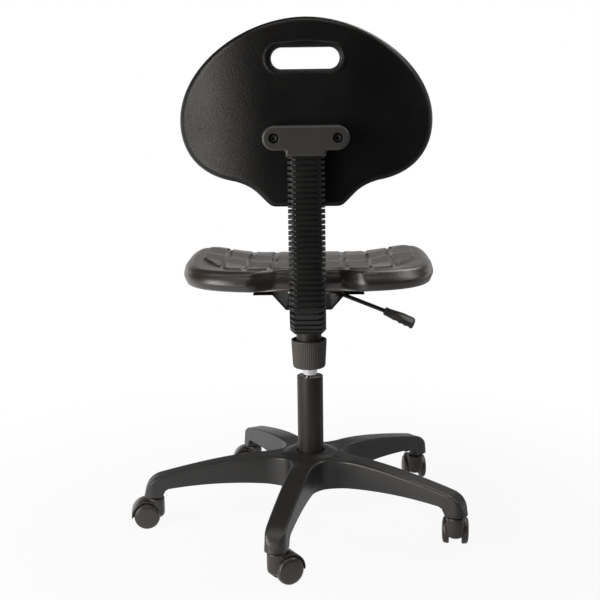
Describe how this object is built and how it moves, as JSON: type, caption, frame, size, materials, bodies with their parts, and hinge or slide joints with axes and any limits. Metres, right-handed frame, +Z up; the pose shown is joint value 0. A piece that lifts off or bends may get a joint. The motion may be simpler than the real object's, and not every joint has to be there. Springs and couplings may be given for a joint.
{
  "type": "task chair",
  "caption": "Moulded task chair: bean-shaped back with a hand slot on a bellows-covered bar, dished seat, gas lift with lever, and a star base on hooded casters.",
  "frame": {"origin": "on the floor under the middle of the chair's footprint", "axes": "+Z up, the sitter faces -Y, +X is to the right seen from the front"},
  "size_m": [0.6456, 0.6208, 0.95],
  "materials": {
    "nylon": "fine moulded grain",
    "foam": "satin moulded skin",
    "rubber": "matt",
    "black_steel": "satin black",
    "steel": "bright zinc",
    "chrome": "polished",
    "acetal": "natural",
    "wood": "bare plywood",
    "caster_plastic": "semi-gloss"
  },
  "bodies": {
    "base": {"base_star": "nylon", "gas_column": "black_steel", "column_bush": "acetal", "thrust_bearing": "steel"},
    "gas_rod": {"piston_rod": "steel", "rod_clip": "steel"},
    "seat_frame": {"pressure_tube": "chrome", "gas_socket": "black_steel", "mech_tray": "black_steel", "bar_guide": "black_steel", "seat": "foam", "seat_board": "wood", "seat_bolt_1": "steel", "seat_bolt_2": "steel", "seat_bolt_3": "steel", "seat_bolt_4": "steel", "lever_grommet": "rubber", "clamp_bolt": "steel", "clamp_spring": "steel", "spring_cup": "black_steel"},
    "lever": {"lever_rod": "black_steel", "lever_handle": "nylon"},
    "button": {"release_button": "steel"},
    "knob": {"clamp_knob": "nylon"},
    "back_arm": {"j_bar": "steel", "bellows": "rubber", "ratchet_sleeve": "acetal", "ratchet_pawl": "steel"},
    "back": {"slide_bar": "steel", "back_bracket": "nylon", "bracket_bolt_1": "black_steel", "bracket_bolt_2": "black_steel", "backrest_plate": "steel", "backrest": "foam"},
    "caster_1": {"caster_1_hood": "caster_plastic", "caster_1_stem": "steel", "caster_1_axle": "steel"},
    "caster_1_wheel_left": {"caster_1_wheel_left": "caster_plastic"},
    "caster_1_wheel_right": {"caster_1_wheel_right": "caster_plastic"},
    "caster_2": {"caster_2_hood": "caster_plastic", "caster_2_stem": "steel", "caster_2_axle": "steel"},
    "caster_2_wheel_left": {"caster_2_wheel_left": "caster_plastic"},
    "caster_2_wheel_right": {"caster_2_wheel_right": "caster_plastic"},
    "caster_3": {"caster_3_hood": "caster_plastic", "caster_3_stem": "steel", "caster_3_axle": "steel"},
    "caster_3_wheel_left": {"caster_3_wheel_left": "caster_plastic"},
    "caster_3_wheel_right": {"caster_3_wheel_right": "caster_plastic"},
    "caster_4": {"caster_4_hood": "caster_plastic", "caster_4_stem": "steel", "caster_4_axle": "steel"},
    "caster_4_wheel_left": {"caster_4_wheel_left": "caster_plastic"},
    "caster_4_wheel_right": {"caster_4_wheel_right": "caster_plastic"},
    "caster_5": {"caster_5_hood": "caster_plastic", "caster_5_stem": "steel", "caster_5_axle": "steel"},
    "caster_5_wheel_left": {"caster_5_wheel_left": "caster_plastic"},
    "caster_5_wheel_right": {"caster_5_wheel_right": "caster_plastic"}
  },
  "joints": [
    {"name": "seat_swivel", "type": "hinge", "parent": "base", "child": "gas_rod", "pos_m": [-0.02862, -0.00986, 0.2], "axis": [0, 0, 1], "continuous": true},
    {"name": "seat_height", "type": "slide", "parent": "gas_rod", "child": "seat_frame", "axis": [0, 0, 1], "range_m": [-0.12, 0]},
    {"name": "height_lever", "type": "hinge", "parent": "seat_frame", "child": "lever", "pos_m": [-0.08652, -0.00986, 0.4498], "axis": [0, 1, 0], "range_deg": [0, 3], "stiffness_Nm_per_rad": 3},
    {"name": "valve_button", "type": "slide", "parent": "seat_frame", "child": "button", "axis": [0, 0, 1], "range_m": [-0.0034, 0]},
    {"name": "clamp_turn", "type": "hinge", "parent": "seat_frame", "child": "knob", "pos_m": [-0.02862, 0.09014, 0.36], "axis": [0, 0, 1], "range_deg": [0, 540]},
    {"name": "back_depth", "type": "slide", "parent": "seat_frame", "child": "back_arm", "axis": [0, 1, 0], "range_m": [0, 0.03]},
    {"name": "back_height", "type": "slide", "parent": "back_arm", "child": "back", "axis": [0, 0, 1], "range_m": [-0.06, 0], "deforming": ["bellows"]},
    {"name": "caster_1_swivel", "type": "hinge", "parent": "base", "child": "caster_1", "pos_m": [0.02938, 0.28855, 0.06], "axis": [0, 0, 1], "continuous": true},
    {"name": "caster_1_wheel_left_spin", "type": "hinge", "parent": "caster_1", "child": "caster_1_wheel_left", "pos_m": [0.01395, 0.27928, 0.025], "axis": [0.515, -0.8572, 0], "continuous": true},
    {"name": "caster_1_wheel_right_spin", "type": "hinge", "parent": "caster_1", "child": "caster_1_wheel_right", "pos_m": [0.01395, 0.27928, 0.025], "axis": [0.515, -0.8572, 0], "continuous": true},
    {"name": "caster_2_swivel", "type": "hinge", "parent": "base", "child": "caster_2", "pos_m": [-0.29451, 0.13752, 0.06], "axis": [0, 0, 1], "continuous": true},
    {"name": "caster_2_wheel_left_spin", "type": "hinge", "parent": "caster_2", "child": "caster_2_wheel_left", "pos_m": [-0.2967, 0.11965, 0.025], "axis": [0.9925, -0.1219, 0], "continuous": true},
    {"name": "caster_2_wheel_right_spin", "type": "hinge", "parent": "caster_2", "child": "caster_2_wheel_right", "pos_m": [-0.2967, 0.11965, 0.025], "axis": [0.9925, -0.1219, 0], "continuous": true},
    {"name": "caster_3_swivel", "type": "hinge", "parent": "base", "child": "caster_3", "pos_m": [-0.25096, -0.21719, 0.06], "axis": [0, 0, 1], "continuous": true},
    {"name": "caster_3_wheel_left_spin", "type": "hinge", "parent": "caster_3", "child": "caster_3_wheel_left", "pos_m": [-0.24939, -0.23512, 0.025], "axis": [0.9962, 0.0872, 0], "continuous": true},
    {"name": "caster_3_wheel_right_spin", "type": "hinge", "parent": "caster_3", "child": "caster_3_wheel_right", "pos_m": [-0.24939, -0.23512, 0.025], "axis": [0.9962, 0.0872, 0], "continuous": true},
    {"name": "caster_4_swivel", "type": "hinge", "parent": "base", "child": "caster_4", "pos_m": [0.09985, -0.28538, 0.06], "axis": [0, 0, 1], "continuous": true},
    {"name": "caster_4_wheel_left_spin", "type": "hinge", "parent": "caster_4", "child": "caster_4_wheel_left", "pos_m": [0.11785, -0.28538, 0.025], "axis": [0, 1, 0], "continuous": true},
    {"name": "caster_4_wheel_right_spin", "type": "hinge", "parent": "caster_4", "child": "caster_4_wheel_right", "pos_m": [0.11785, -0.28538, 0.025], "axis": [0, 1, 0], "continuous": true},
    {"name": "caster_5_swivel", "type": "hinge", "parent": "base", "child": "caster_5", "pos_m": [0.27311, 0.02719, 0.06], "axis": [0, 0, 1], "continuous": true},
    {"name": "caster_5_wheel_left_spin", "type": "hinge", "parent": "caster_5", "child": "caster_5_wheel_left", "pos_m": [0.29092, 0.02982, 0.025], "axis": [-0.1461, 0.9893, 0], "continuous": true},
    {"name": "caster_5_wheel_right_spin", "type": "hinge", "parent": "caster_5", "child": "caster_5_wheel_right", "pos_m": [0.29092, 0.02982, 0.025], "axis": [-0.1461, 0.9893, 0], "continuous": true}
  ],
  "couplings": [
    {"joint": "valve_button", "follows": "height_lever", "m_per_rad": -0.058}
  ]
}
